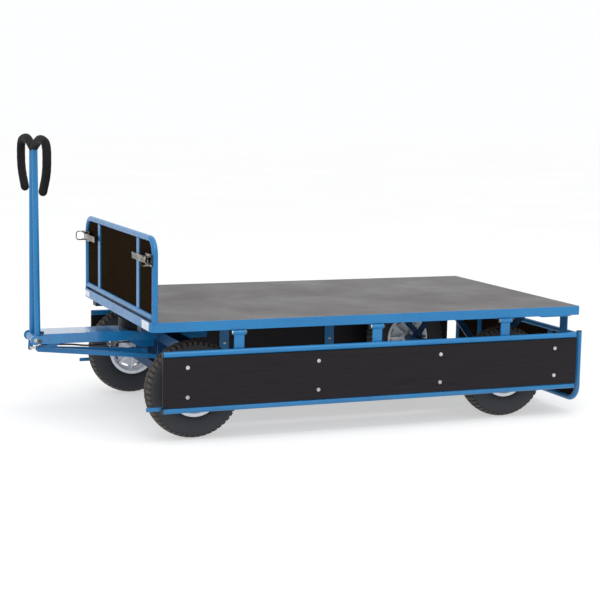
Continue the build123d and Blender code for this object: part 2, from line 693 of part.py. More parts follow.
def ring_piece(outer, inner, z0, z1):
    """A flat ring about the steering axis."""
    disc = rod_z(FRONT_AXLE_X, 0, z0, z1, outer)
    return disc - rod_z(FRONT_AXLE_X, 0, z0 - 1, z1 + 1, inner)


def turntable_upper_ring():
    """The ring fixed under the bed, with the outer raceway wall."""
    ring = ring_piece(RING_RADIUS, RING_RADIUS - RING_FLANGE, RAIL_BOTTOM - RING_WALL, RAIL_BOTTOM)
    return ring + ring_piece(RING_RADIUS, RING_RADIUS - RING_WALL, ARM_TOP + 12, RAIL_BOTTOM - 1)


def turntable_lower_ring():
    """The ring fixed on the bogie, with the inner raceway wall."""
    outer = RING_RADIUS - RING_WALL - 2 * BALL_RADIUS - 1
    ring = ring_piece(RING_RADIUS - RING_WALL - 3, RING_RADIUS - RING_FLANGE, ARM_TOP, ARM_TOP + RING_WALL)
    return ring + ring_piece(outer, outer - RING_WALL, ARM_TOP + RING_WALL - 1, RAIL_BOTTOM - 14)


def turntable_balls():
    """The balls between the two raceways."""
    radius = RING_RADIUS - RING_WALL - BALL_RADIUS - 0.5
    pieces = []
    for step in range(BALL_COUNT):
        angle = 2 * math.pi * step / BALL_COUNT
        place = (FRONT_AXLE_X + radius * math.cos(angle), radius * math.sin(angle), ARM_TOP + 24)
        pieces.append(Pos(*place) * Sphere(BALL_RADIUS))
    return pieces


def drawbar_arm():
    """The box-section arm: it carries the turntable ring and ends in two ears for the tiller."""
    half = ARM_WIDTH / 2
    bottom = ARM_TOP - ARM_HEIGHT
    arm = block(ARM_REAR, ARM_FRONT, -half, half, bottom, ARM_TOP)
    inside = half - EAR_THICKNESS
    pocket = ARM_FRONT - POCKET_LENGTH
    cavity_z = (bottom + ARM_WALL, ARM_TOP - ARM_WALL)
    arm -= block(ARM_REAR + ARM_WALL, pocket - ARM_WALL, -inside, inside, *cavity_z)
    arm -= block(pocket, ARM_FRONT + 1, -inside, inside, bottom - 1, ARM_TOP - ARM_WALL)
    for sign in (-1, 1):
        y = (sign * (inside + EAR_OUT), sign * (half + EAR_OUT))
        ear = block(ARM_FRONT - 24, PIVOT_X, *y, PIVOT_Z - 17, PIVOT_Z + 17)
        ear += rod_y(PIVOT_X, *y, PIVOT_Z, EAR_RADIUS)
        arm += ear
    reach = half + EAR_OUT + 1
    arm -= rod_y(PIVOT_X, -reach, reach, PIVOT_Z, 6)
    arm -= rod_y(PIVOT_X - 19, -reach, reach, PIVOT_Z - 5, 3.5)
    arm += block(pocket - ARM_WALL, pocket, CABLE_END_Y - 12, CABLE_END_Y + 12, CABLE_END_Z - 10, bottom)
    arm += rod_guard(1) + rod_guard(-1)
    return arm - rod_x(pocket - 9, pocket + 9, CABLE_END_Y, CABLE_END_Z, CABLE_RADIUS + 0.4)


def tiller_pivot_bolts():
    """The pivot bolt through both ears, and the short bolt behind it in each ear."""
    half = ARM_WIDTH / 2 + EAR_OUT
    pivot = rod_y(PIVOT_X, -half - 9, half, PIVOT_Z, 6)
    pivot += rod_y(PIVOT_X, half, half + 2, PIVOT_Z, 9.5)
    pivot += rod_y(PIVOT_X, half + 2, half + 7, PIVOT_Z, 6.5)
    pivot += rod_y(PIVOT_X, -half - 2, -half, PIVOT_Z, 9.5)
    pivot += rod_y(PIVOT_X, -half - 8, -half - 2, PIVOT_Z, 6.5)
    pieces = [pivot]
    for sign in (-1, 1):
        small = rod_y(PIVOT_X - 19, sign * (half - EAR_THICKNESS), sign * half, PIVOT_Z - 5, 3.5)
        small += rod_y(PIVOT_X - 19, sign * half, sign * (half + 2), PIVOT_Z - 5, 8.5)
        small += rod_y(PIVOT_X - 19, sign * half, sign * (half + 5.5), PIVOT_Z - 5, 6)
        pieces.append(small)
    return pieces


def tiller_stops():
    """The rubber blocks on the arm that the upright tiller leans against."""
    front = TILLER_TUBE_X - TILLER_TUBE_RADIUS - 0.4
    piece = block(front - 12, ARM_FRONT, 50, 74, ARM_TOP, ARM_TOP + 9)
    piece += block(ARM_FRONT, front, 50, 74, ARM_TOP + 1, ARM_TOP + 9)
    return [piece, mirrored_y(piece)]


def rod_guard(side):
    """A plate on edge under the arm, beside the brake's pull rod, tied to the bolster."""
    y = side * GUARD_Y
    bottom = ARM_TOP - ARM_HEIGHT
    front = FRONT_AXLE_X + BOLSTER_WIDTH / 2
    outline = [
        (front, bottom),
        (front, bottom - 38),
        (GUARD_FRONT - 50, bottom - 38),
        (GUARD_FRONT, bottom - 8),
        (GUARD_FRONT, bottom),
    ]
    return plate_xz(outline, y - 2.5, y + 2.5)


def bolster():
    """The left half of the bolster: a box beam with a sloping end, welded to the arm."""
    half = ARM_WIDTH / 2
    outline = [
        (half, BOLSTER_BOTTOM),
        (BOLSTER_BOTTOM_HALF, BOLSTER_BOTTOM),
        (BOLSTER_TOP_HALF, ARM_TOP - 14),
        (BOLSTER_TOP_HALF, ARM_TOP),
        (half, ARM_TOP),
    ]
    x0 = FRONT_AXLE_X - BOLSTER_WIDTH / 2
    return plate_yz(outline, x0, x0 + BOLSTER_WIDTH)


def axle_hanger(y):
    """An upright plate between the bolster and the front axle."""
    axle_top = TYRE_RADIUS + AXLE_SIZE / 2
    half = BOLSTER_WIDTH / 2
    outline = [
        (FRONT_AXLE_X - 25, axle_top),
        (FRONT_AXLE_X + 25, axle_top),
        (FRONT_AXLE_X + half, axle_top + 45),
        (FRONT_AXLE_X + half, BOLSTER_BOTTOM),
        (FRONT_AXLE_X - half, BOLSTER_BOTTOM),
        (FRONT_AXLE_X - half, axle_top + 45),
    ]
    return plate_xz(outline, y - 4, y + 4)


def axle_hangers():
    """The four hanger plates, two on each side."""
    pieces = []
    for y in HANGER_Y:
        pieces += [axle_hanger(y), mirrored_y(axle_hanger(y))]
    return pieces


def drawbar_strut(side):
    """One lower strut: a flat bar on edge from the axle hangers to the nose."""
    foot = Vector(STRUT_REAR[0], side * STRUT_REAR[1], STRUT_REAR[2])
    head = Vector(STRUT_FRONT[0], side * STRUT_FRONT[1], STRUT_FRONT[2])
    run = head - foot
    plane = Plane(origin=foot, x_dir=(-run.Y, run.X, 0), z_dir=run)
    return extrude(plane * Rectangle(STRUT_WIDTH, STRUT_HEIGHT), amount=run.length)


def strut_cheek(side):
    """The gusset that ties the front end of a strut to the lower edge of the arm."""
    y = side * (STRUT_FRONT[1] + STRUT_WIDTH / 2 + 3)
    outline = [
        (ARM_FRONT - 96, ARM_TOP - ARM_HEIGHT),
        (ARM_FRONT - 58, STRUT_FRONT[2] + 4),
        (STRUT_FRONT[0], STRUT_FRONT[2] - 6),
        (STRUT_FRONT[0], STRUT_FRONT[2] + 6),
        (ARM_FRONT - 62, ARM_TOP - ARM_HEIGHT),
    ]
    return plate_xz(outline, y - 3, y + 3)


def drawbar_struts():
    """Both lower struts with their gussets and the tie between their front ends."""
    pieces = []
    for side in (-1, 1):
        piece = drawbar_strut(side) + strut_cheek(side)
        pieces.append(piece - block(STRUT_REAR[0] - 20, STRUT_REAR[0] + 18, 70 * side, 94 * side, 0, 400))
    return pieces


def brake_adjuster():
    """The galvanised adjuster block under the arm with the threaded pull rod behind it."""
    bottom = ARM_TOP - ARM_HEIGHT
    y = CABLE_REAR_Y
    piece = block(*ADJUSTER_X, y - 13, y + 13, CABLE_REAR_Z - 12, CABLE_REAR_Z + 13)
    piece += block(ADJUSTER_X[0] + 12, ADJUSTER_X[0] + 18, y - 13, y + 13, CABLE_REAR_Z, bottom)
    rod_start = FRONT_AXLE_X + BOLSTER_WIDTH / 2
    piece += rod_x(rod_start + 10, ADJUSTER_X[0] + 2, y, CABLE_REAR_Z + 6, 4)
    piece += block(rod_start, rod_start + 24, y - 8, y + 8, CABLE_REAR_Z - 2, bottom)
    piece += rod_x(ADJUSTER_X[1], ADJUSTER_X[1] + 12, y, CABLE_REAR_Z, 7)
    return piece - rod_x(ADJUSTER_X[1], ADJUSTER_X[1] + 13, y, CABLE_REAR_Z, CABLE_RADIUS + 0.9)


def brake_cable():
    """The sheathed brake cable under the arm, held at both ends."""
    start_x = ADJUSTER_X[1] + 0.5
    end_x = ARM_FRONT - POCKET_LENGTH + 8
    route = [
        Vector(start_x, CABLE_REAR_Y, CABLE_REAR_Z),
        Vector(start_x + 48, CABLE_REAR_Y - 1, CABLE_REAR_Z - 2),
        Vector(start_x + 106, CABLE_REAR_Y - 4, CABLE_REAR_Z - 3),
        Vector(end_x - 106, CABLE_END_Y + 3, CABLE_END_Z - 2),
        Vector(end_x - 48, CABLE_END_Y, CABLE_END_Z),
        Vector(end_x, CABLE_END_Y, CABLE_END_Z),
    ]
    radii = []
    for before, corner, after in zip(route, route[1:], route[2:]):
        run_in = corner - before
        run_out = after - corner
        half_turn = math.radians(run_in.get_angle(run_out) / 2)
        radii.append(0.45 * min(run_in.length, run_out.length) / math.tan(half_turn))
    print("cable radii", [round(radius) for radius in radii])
    return sweep_round(FilletPolyline(*route, radius=radii), CABLE_RADIUS)


# ------------------------------------------------------------------ tiller


def tiller_tube(side):
    """One of the tiller's two long tubes, closer together at the top than at the foot."""
    foot = (TILLER_TUBE_X, side * TILLER_FOOT_Y, PIVOT_Z)
    head = (TILLER_TUBE_X, side * TILLER_HEAD_Y, TILLER_HEAD_Z)
    return sweep_round(Line(foot, head), TILLER_TUBE_RADIUS)


def tiller_frame():
    """The tiller's weldment: two tubes, the pivot barrel and the brake lug."""
    barrel = rod_y(PIVOT_X, -BARREL_HALF, BARREL_HALF, PIVOT_Z, BARREL_RADIUS)
    frame = barrel + tiller_tube(1) + tiller_tube(-1)
    lug_x = PIVOT_X + 9
    lug_z = PIVOT_Z - LUG_REACH + 1
    half = LUG_THICKNESS / 2
    lug = plate_xz(
        [(PIVOT_X - 15, PIVOT_Z), (PIVOT_X + 15, PIVOT_Z), (lug_x + 9, lug_z), (lug_x - 9, lug_z)],
        -half,
        half,
    )
    lug += rod_y(lug_x, -half, half, lug_z, 9.5)
    frame += lug
    frame -= rod_y(lug_x, -half - 1, half + 1, lug_z, 4)
    frame -= rod_y(PIVOT_X, -BARREL_HALF - 1, BARREL_HALF + 1, PIVOT_Z, 6 + PIN_PLAY)
    return frame - sweep_round(handle_path(), HANDLE_RADIUS)


def brake_clevis():
    """The fork on the tiller's lug that takes the end of the brake wire."""
    x = PIVOT_X + 9
    z = PIVOT_Z - LUG_REACH + 1
    half = LUG_THICKNESS / 2
    fork = rod_y(x, -half - 5, half + 5, z, 4)
    for side in (-1, 1):
        cheek_y = (side * (half + 0.3), side * (half + 3))
        fork += rod_y(x, *cheek_y, z, 7)
        fork += block(x - 19, x, *cheek_y, z - 5, z + 5)
    return fork + block(x - 19, x - 14, -half - 1, half + 1, z - 5, z + 5)


def handle_path():
    """The centre line of the double-horn handle, from one free end to the other."""
    half = [(200, 1004), (290, 1092), (286, 1205), (150, 1222)]
    points = [(TILLER_TUBE_X, y, z) for y, z in half]
    points.append((TILLER_TUBE_X, 0, TILLER_HEAD_Z))
    points += [(TILLER_TUBE_X, -y, z) for y, z in reversed(half)]
    return FilletPolyline(*points, radius=[70, 50, 90, 90, 90, 50, 70])


def handle_tube():
    """The bent steel tube inside the grips."""
    return sweep_round(handle_path(), HANDLE_RADIUS)


def handle_grips():
    """The two foam sleeves, one over each horn, closed at the free ends."""
    path = handle_path()
    sleeve = sweep_round(path, GRIP_RADIUS)
    for side in (-1, 1):
        end = path @ 0 if side > 0 else path @ 1
        sleeve += Pos(end.X, end.Y, end.Z) * Sphere(GRIP_RADIUS)
    sleeve -= sweep_round(path, HANDLE_RADIUS)
    sleeve -= block(TILLER_TUBE_X - 40, TILLER_TUBE_X + 40, -GRIP_START_Y, GRIP_START_Y, 900, 1400)
    for side in (-1, 1):
        sleeve -= tiller_tube(side)
    return sleeve


# ------------------------------------------------------------------ write every node

rail_ends = [(x, y) for x in (-RAIL_END, RAIL_END) for y in (-RAIL_Y, RAIL_Y)]
save("bed_rim", [bed_rim()])
save("deck_board", [deck_board()])
save("underframe_rails", [underframe_rail(-RAIL_Y), underframe_rail(RAIL_Y)])
save("rail_end_caps", [rail_cap(x, y) for x, y in rail_ends])
save("bed_crossmembers", bed_crossmembers())
save("hinge_brackets", hinge_brackets())
save("hinge_pins", hinge_pins())
save("rear_axle", [axle_beam(REAR_AXLE_X)])
save("rear_axle_nuts", spindle_nuts(REAR_AXLE_X))
save("rear_axle_hangers", rear_hangers())

head_crown = HEAD_TOP - TUBE_RADIUS
head_bars = (HEAD_X, HEAD_X + BAR_THICKNESS)
head_frame = end_frame(HEAD_POST_Y, DECK_TOP, HEAD_TOP, HEAD_CROSS_Z, HEAD_X, head_bars)
save("headboard_frame", [head_frame + post_foot() + mirrored_y(post_foot())])
head_board_x = (HEAD_X - PANEL_BOARD, HEAD_X)
save("headboard_board", [end_board(HEAD_POST_Y, HEAD_CROSS_Z, head_crown, *head_board_x, HEAD_X)])
save("headboard_bolts", end_bolts(HEAD_CROSS_Z, head_crown, HEAD_X))

tail_x = HINGE_X_REAR - TAIL_OFFSET
tail_crown = TAIL_BOTTOM + TUBE_RADIUS
save("tail_frame", [tail_frame()])
save("tail_board", [end_board(TAIL_POST_Y, TAIL_CROSS_Z, tail_crown, tail_x - PANEL_BOARD, tail_x, tail_x)])
save("tail_bolts", end_bolts(TAIL_CROSS_Z, tail_crown, tail_x))
save("tail_caps", tail_caps())

side_nodes = {
    "frame": [side_panel_frame()],
    "board": [side_panel_board()],
    "bolts": side_panel_bolts(),
    "caps": side_panel_caps(),
}
for name, pieces in side_nodes.items():
    save(f"side_left_{name}", pieces)
    save(f"side_right_{name}", [mirrored_y(piece) for piece in pieces])

latch_nodes = {
    "latch_base": latch_base() + latch_foot(),
    "latch_lever": latch_lever(),
    "latch_bail": latch_bail(),
}
for name, piece in latch_nodes.items():
    save(f"{name}_left", [piece])
    save(f"{name}_right", [mirrored_y(piece)])

for axle, x in (("front", FRONT_AXLE_X), ("rear", REAR_AXLE_X)):
    for side, y in (("left", WHEEL_Y), ("right", -WHEEL_Y)):
        save(f"tyre_{axle}_{side}", [tyre(x, y)])
        save(f"wheel_{axle}_{side}", [wheel_rim(x, y)])

save("turntable_upper_ring", [turntable_upper_ring()])
save("turntable_lower_ring", [turntable_lower_ring()])
save("turntable_balls", turntable_balls())
save("drawbar_arm", [drawbar_arm()])
save("drawbar_struts", drawbar_struts())
save("tiller_pivot_bolts", tiller_pivot_bolts())
save("tiller_stops", tiller_stops())
save("bogie_bolster", [bolster(), mirrored_y(bolster())])
save("bogie_hangers", axle_hangers())
save("front_axle", [axle_beam(FRONT_AXLE_X)])
save("front_axle_nuts", spindle_nuts(FRONT_AXLE_X))
save("brake_adjuster", [brake_adjuster()])
save("brake_cable", [brake_cable()])
save("tiller_frame", [tiller_frame()])
save("brake_clevis", [brake_clevis()])
save("handle_tube", [handle_tube()])
save("handle_grips", [handle_grips()])
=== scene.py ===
"""Looks of the drop-side turntable cart: materials, detail pieces, light and camera over the CAD frame."""

import json
import math

import bmesh
import bpy
import numpy as np
from mathutils import Matrix, Vector

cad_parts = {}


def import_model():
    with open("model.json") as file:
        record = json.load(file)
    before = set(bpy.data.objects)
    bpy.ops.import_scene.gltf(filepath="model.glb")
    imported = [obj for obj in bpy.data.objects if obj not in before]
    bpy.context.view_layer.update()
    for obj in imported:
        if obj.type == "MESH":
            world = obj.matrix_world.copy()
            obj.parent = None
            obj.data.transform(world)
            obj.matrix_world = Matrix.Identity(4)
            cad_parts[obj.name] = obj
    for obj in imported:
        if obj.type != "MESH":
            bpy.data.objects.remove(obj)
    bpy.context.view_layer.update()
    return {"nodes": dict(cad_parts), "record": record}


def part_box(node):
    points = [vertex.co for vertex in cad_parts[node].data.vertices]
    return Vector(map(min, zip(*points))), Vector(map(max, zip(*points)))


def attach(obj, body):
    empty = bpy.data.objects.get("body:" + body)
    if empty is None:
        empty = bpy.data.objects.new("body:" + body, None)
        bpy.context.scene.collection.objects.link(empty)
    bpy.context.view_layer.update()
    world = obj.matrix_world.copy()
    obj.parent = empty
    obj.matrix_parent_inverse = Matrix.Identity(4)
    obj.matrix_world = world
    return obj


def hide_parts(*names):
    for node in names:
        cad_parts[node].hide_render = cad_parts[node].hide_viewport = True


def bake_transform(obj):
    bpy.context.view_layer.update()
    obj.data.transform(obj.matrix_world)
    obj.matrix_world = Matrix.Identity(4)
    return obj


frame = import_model()
NODES = frame["nodes"]
SLOT_OF = {sub["node"]: sub["material_slot"] for sub in frame["record"]["subparts"]}

# ---------------------------------------------------------------- sizes, in metres

GROUND = -0.5

TYRE_RADIUS = 0.205
TREAD_PITCHES = 52
TREAD_DEPTH = 0.0064
TYRE_STEPS = TREAD_PITCHES * 12

# The tread's pattern: edges, offsets and fades in mm across the tyre, the rest in parts of one pitch.
RIB_EDGE = (6.0, 7.3)
RIB_SWING = 2.6
SIPE_EDGE = (0.045, 0.10)
SIPE_SLANT = 0.05
LUG_START = 10.2
LUG_SWING = 2.2
LUG_EDGE = (0.30, 0.36)
LUG_SLANT = 0.006
LUG_NOTCH = (0.02, 0.05)
NOTCH_END = 22
TREAD_FADE = (47.0, 51.5)
DUST_FADE = (34.0, 50.0)

GRIP_RADIUS = 0.0182

BOLT_HEAD_RADIUS = 0.0088
BOLT_HEAD_SUNK = 0.0035
NUT_SEAT = 0.009
NUT_RADIUS = 0.0068
NUT_HEIGHT = 0.0050
BOLT_RADIUS = 0.0036
WASHER_HEIGHT = 0.0013

SIDE_BAR_X = (-0.857, -0.285, 0.285, 0.857)
SIDE_BAR_HALF = 0.025
SIDE_BAR_BEAD_Y = 0.6140
SIDE_TUBE_Z = (-0.128, -0.358)
SIDE_TUBE_BEAD = 0.0122
SIDE_STRAP_X = (0.630, 0.008, -0.614)
SIDE_STRAP_HALF = 0.022
SIDE_STRAP_BEAD_Y = 0.6085
SIDE_STRAP_BEAD_Z = (-0.133, -0.118)

POST_X = 0.982
POST_Y = 0.586
POST_BEAD_Z = 0.0008
POST_BEAD_RADIUS = 0.0125
CROSS_TUBE_Y = 0.5735
CROSS_TUBE_Z = 0.0155
CROSS_BEAD_RADIUS = 0.0126
HEAD_BAR_Y = (-0.342, 0.342)
HEAD_BAR_HALF = 0.019
HEAD_BEAD_X = 0.9885
HEAD_BEAD_Z = (0.0278, 0.3215)

VALVE_FROM_AXLE = 0.086
VALVE_OUT = 0.012
VALVE_LEAN = math.radians(-68)

WIRE_RADIUS = 0.0013
LABEL_CORNER = 0.004
LABEL_THICKNESS = 0.0004


# ---------------------------------------------------------------- node graph helpers


class Graph:
    """A material's node tree, with short calls to add and join nodes."""

    def __init__(self, name):
        """Makes a material and keeps its shader and its object coordinates at hand."""
        self.material = bpy.data.materials.new(name)
        self.material.use_nodes = True
        self.tree = self.material.node_tree
        self.shader = self.tree.nodes["Principled BSDF"]
        self.coords = self.tree.nodes.new("ShaderNodeTexCoord").outputs["Object"]

    def add(self, kind, settings=None, **inputs):
        """A new node with its settings and inputs; an underscore in an input's name stands for a space."""
        node = self.tree.nodes.new("ShaderNode" + kind)
        for key, value in (settings or {}).items():
            setattr(node, key, value)
        for key, value in inputs.items():
            self.feed(node, key.replace("_", " "), value)
        return node

    def feed(self, node, socket, value):
        """Links another node's output to an input, or sets the input to a plain value."""
        target = node.inputs[int(socket) if socket.isdigit() else socket]
        if isinstance(value, bpy.types.NodeSocket):
            self.tree.links.new(value, target)
        else:
            target.default_value = value

    def stretched(self, scale):
        """Object coordinates multiplied by a scale for each axis."""
        return self.add("Mapping", Vector=self.coords, Scale=scale).outputs["Vector"]

    def noise(self, scale, detail=4.0, rough=0.55, vector=None):
        """Cloudy noise from about 0 to 1, on object coordinates unless others are given."""
        node = self.add("TexNoise", Vector=vector or self.coords, Scale=scale, Detail=detail, Roughness=rough)
        return node.outputs["Fac"]

    def ramp(self, value, low, high, start=0.0, end=1.0):
        """The value moved from the span low..high to the span start..end, held at both ends."""
        node = self.add("MapRange", Value=value, From_Min=low, From_Max=high, To_Min=start, To_Max=end)
        return node.outputs["Result"]

    def mix(self, factor, first, second):
        """The first colour where the factor is 0, the second where it is 1."""
        node = self.tree.nodes.new("ShaderNodeMix")
        node.data_type = "RGBA"
        self.feed(node, "0", factor)
        self.feed(node, "6", first)
        self.feed(node, "7", second)
        return node.outputs[2]

    def times(self, first, second):
        """The product of two values."""
        node = self.tree.nodes.new("ShaderNodeMath")
        node.operation = "MULTIPLY"
        self.feed(node, "0", first)
        self.feed(node, "1", second)
        return node.outputs[0]

    def height(self):
        """The object coordinate along Z."""
        return self.add("SeparateXYZ", Vector=self.coords).outputs["Z"]

    def upward(self):
        """How far the surface faces up, from -1 to 1."""
        return self.add("SeparateXYZ", Vector=self.add("NewGeometry").outputs["Normal"]).outputs["Z"]

    def finish(self, color, rough, bumps, bevel=0.0):
        """Joins colour, roughness, softened edges and a bump of (height, strength, distance) layers."""
        self.feed(self.shader, "Base Color", color)
        self.feed(self.shader, "Roughness", rough)
        normal = None
        if bevel:
            normal = self.add("Bevel", {"samples": 4}, Radius=bevel).outputs["Normal"]
        for height, strength, distance in bumps:
            bump = self.add("Bump", Height=height, Strength=strength, Distance=distance)
            if normal is not None:
                self.feed(bump, "Normal", normal)
            normal = bump.outputs["Normal"]
        if normal is not None:
            self.feed(self.shader, "Normal", normal)
        return self.material


def rgb(red, green, blue):
    """A colour from its sRGB bytes, as a linear RGBA tuple."""
    def linear(byte):
        """One byte as linear light."""
        part = byte / 255
        return part / 12.92 if part <= 0.04045 else ((part + 0.055) / 1.055) ** 2.4
    return (linear(red), linear(green), linear(blue), 1.0)


# ---------------------------------------------------------------- materials


def paint_blue(name, dark, light, coat):
    """Semi-gloss powder coat: slight orange peel, faint dust, road dirt low down, a few chipped spots."""
    g = Graph(name)
    broad = g.ramp(g.noise(3.0, 3.0), 0.35, 0.65)
    color = g.mix(broad, dark, light)
    dust = g.ramp(g.noise(38.0, 6.0, 0.7), 0.52, 0.78, 0.0, 0.10)
    color = g.mix(dust, color, rgb(84, 124, 160))
    low = g.ramp(g.height(), -0.47, -0.22, 0.45, 0.0)
    dirt = g.times(low, g.ramp(g.noise(16.0, 6.0, 0.7), 0.42, 0.7))
    color = g.mix(dirt, color, rgb(72, 78, 84))
    chips = g.ramp(g.noise(115.0, 3.0, 0.5), 0.76, 0.775)
    color = g.mix(chips, color, rgb(30, 60, 86))
    rough = g.ramp(g.noise(24.0, 5.0, 0.6), 0.3, 0.7, 0.26, 0.38)
    g.feed(g.shader, "Specular IOR Level", 0.35)
    g.feed(g.shader, "Coat Weight", coat)
    g.feed(g.shader, "Coat Roughness", 0.09)
    peel = g.noise(520.0, 2.0, 0.5)
    return g.finish(color, rough, [(peel, 0.10, 0.0003), (chips, -0.2, 0.0002)], bevel=0.0016)


def board_film(name, dark, light, along, gloss, specular):
    """Film-faced plywood: fine lengthwise streaks, faint scuffs and a slight wavy sheen."""
    g = Graph(name)
    streak_scale = (1.2, 42.0, 42.0) if along == "X" else (42.0, 1.2, 42.0)
    streaks = g.noise(4.0, 7.0, 0.65, g.stretched(streak_scale))
    cloud = g.noise(2.3, 4.0, 0.6)
    color = g.mix(g.ramp(streaks, 0.3, 0.72), dark, light)
    color = g.mix(g.ramp(cloud, 0.35, 0.7, 0.0, 0.4), color, light)
    scuff = g.ramp(g.noise(6.0, 8.0, 0.75, g.stretched((3.0, 14.0, 9.0))), 0.62, 0.8, 0.0, 0.35)
    worn = tuple(min(1.0, 1.9 * part + 0.01) for part in light[:3]) + (1.0,)
    color = g.mix(scuff, color, worn)
    rough = g.ramp(cloud, 0.3, 0.7, gloss, gloss + 0.14)
    weave = g.noise(260.0, 2.0, 0.5)
    g.feed(g.shader, "Specular IOR Level", specular)
    return g.finish(color, rough, [(weave, 0.10, 0.0004), (streaks, 0.10, 0.0005)], bevel=0.0008)


def zinc(name, painted_dark_strength, bright, warm):
    """Zinc plate with a faint warm tint and dark spots, plus painted dark reflections and painted shade on
    down-facing surfaces, both as strong as painted_dark_strength.
    """
    g = Graph(name)
    patch = g.ramp(g.noise(70.0, 4.0, 0.6), 0.35, 0.65)
    color = g.mix(patch, bright, warm)
    spots = g.ramp(g.noise(240.0, 4.0, 0.6), 0.6, 0.75, 0.0, 0.5)
    color = g.mix(spots, color, rgb(86, 83, 76))
    # Painted reflection: dark noise patches stand in for the dark surroundings mirrored in the shiny plate.
    painted_dark_reflection = g.ramp(g.noise(34.0, 2.0, 0.4), 0.45, 0.52, 0.0, painted_dark_strength)
    color = g.mix(painted_dark_reflection, color, rgb(34, 32, 29))
    # Painted shade: faces that point down are darkened.
    color = g.mix(g.ramp(g.upward(), -0.8, 0.3, 0.9 * painted_dark_strength, 0.0), color, rgb(64, 62, 58))
    rough = g.ramp(g.noise(120.0, 3.0), 0.3, 0.7, 0.14, 0.30)
    g.feed(g.shader, "Metallic", 0.95)
    return g.finish(color, rough, [(g.noise(600.0, 2.0), 0.12, 0.0002)], bevel=0.0007)


def ring_steel():
    """Near-black turntable steel: the darkness is painted shade for the dark under the bed, on a dull,
    lightly greased finish.
    """
    g = Graph("ring_steel")
    cloud = g.ramp(g.noise(24.0, 5.0, 0.6), 0.35, 0.7)
    # Painted shade: near-black colours in place of the shade under the bed.
    color = g.mix(cloud, rgb(5, 8, 13), rgb(12, 18, 26))
    rough = g.ramp(g.noise(60.0, 4.0), 0.3, 0.7, 0.35, 0.55)
    g.feed(g.shader, "Specular IOR Level", 0.08)
    return g.finish(color, rough, [(g.noise(420.0, 2.0), 0.15, 0.0003)], bevel=0.001)


def rim_paint():
    """Silver-grey sprayed steel with light dust and spots of road grime."""
    g = Graph("rim_paint")
    cloud = g.ramp(g.noise(14.0, 5.0, 0.65), 0.35, 0.7)
    color = g.mix(cloud, rgb(236, 240, 245), rgb(216, 221, 228))
    spots = g.ramp(g.noise(90.0, 5.0, 0.7), 0.6, 0.8, 0.0, 0.5)
    color = g.mix(spots, color, rgb(128, 128, 127))
    rough = g.ramp(g.noise(40.0, 4.0), 0.3, 0.7, 0.36, 0.5)
    g.feed(g.shader, "Metallic", 0.1)
    return g.finish(color, rough, [(g.noise(420.0, 2.0), 0.15, 0.0003)], bevel=0.0018)


def tyre_rubber():
    """Worn tyre rubber: dusty brown tread, painted shade darkening the grooves, and greyer smooth sidewalls.
    """
    g = Graph("tyre_rubber")
    groove = g.add("Attribute", {"attribute_name": "groove"}).outputs["Fac"]
    tread = g.add("Attribute", {"attribute_name": "tread"}).outputs["Fac"]
    cloud = g.noise(22.0, 6.0, 0.65)
    color = g.mix(g.ramp(cloud, 0.3, 0.75), rgb(30, 32, 36), rgb(50, 53, 58))
    dusty = g.mix(g.ramp(g.noise(75.0, 5.0, 0.7), 0.35, 0.7), rgb(58, 52, 47), rgb(104, 92, 79))
    color = g.mix(g.times(tread, 0.62), color, dusty)
    # Painted shade: the grooves are darkened on top of their real depth.
    color = g.mix(g.times(groove, 0.75), color, rgb(24, 23, 23))
    specks = g.ramp(g.noise(260.0, 3.0, 0.6), 0.66, 0.76, 0.0, 0.35)
    color = g.mix(specks, color, rgb(128, 120, 108))
    rough = g.ramp(cloud, 0.3, 0.7, 0.62, 0.85)
    return g.finish(color, rough, [(g.noise(380.0, 4.0, 0.6), 0.3, 0.0006), (cloud, 0.12, 0.002)])


def foam_black():
    """Closed-cell foam sleeve: fine pores and a dull sheen."""
    g = Graph("foam_black")
    pores = g.noise(900.0, 3.0, 0.6)
    cloud = g.noise(30.0, 4.0, 0.6)
    color = g.mix(g.ramp(cloud, 0.3, 0.7), rgb(16, 16, 18), rgb(28, 28, 30))
    color = g.mix(g.ramp(pores, 0.55, 0.72, 0.0, 0.5), color, rgb(62, 60, 58))
    g.feed(g.shader, "Specular IOR Level", 0.1)
    rough = g.ramp(cloud, 0.3, 0.7, 0.66, 0.8)
    return g.finish(color, rough, [(pores, 0.35, 0.0006), (cloud, 0.15, 0.002)])


def plastic_black(name, dark, light):
    """Matte moulded plastic or rubber with a fine spark texture and a little dust."""
    g = Graph(name)
    cloud = g.noise(60.0, 5.0, 0.6)
    color = g.mix(g.ramp(cloud, 0.4, 0.75, 0.0, 0.7), dark, light)
    rough = g.ramp(cloud, 0.3, 0.7, 0.42, 0.6)
    return g.finish(color, rough, [(g.noise(1100.0, 2.0), 0.25, 0.0002)], bevel=0.0008)


def label_white():
    """Plain white label film with a faint smudge."""
    g = Graph("label_white")
    smudge = g.ramp(g.noise(60.0, 5.0, 0.7), 0.5, 0.8, 0.0, 0.35)
    color = g.mix(smudge, rgb(214, 218, 226), rgb(166, 174, 190))
    rough = g.ramp(g.noise(90.0, 3.0), 0.3, 0.7, 0.25, 0.4)
    return g.finish(color, rough, [(g.noise(300.0, 2.0), 0.05, 0.0002)])


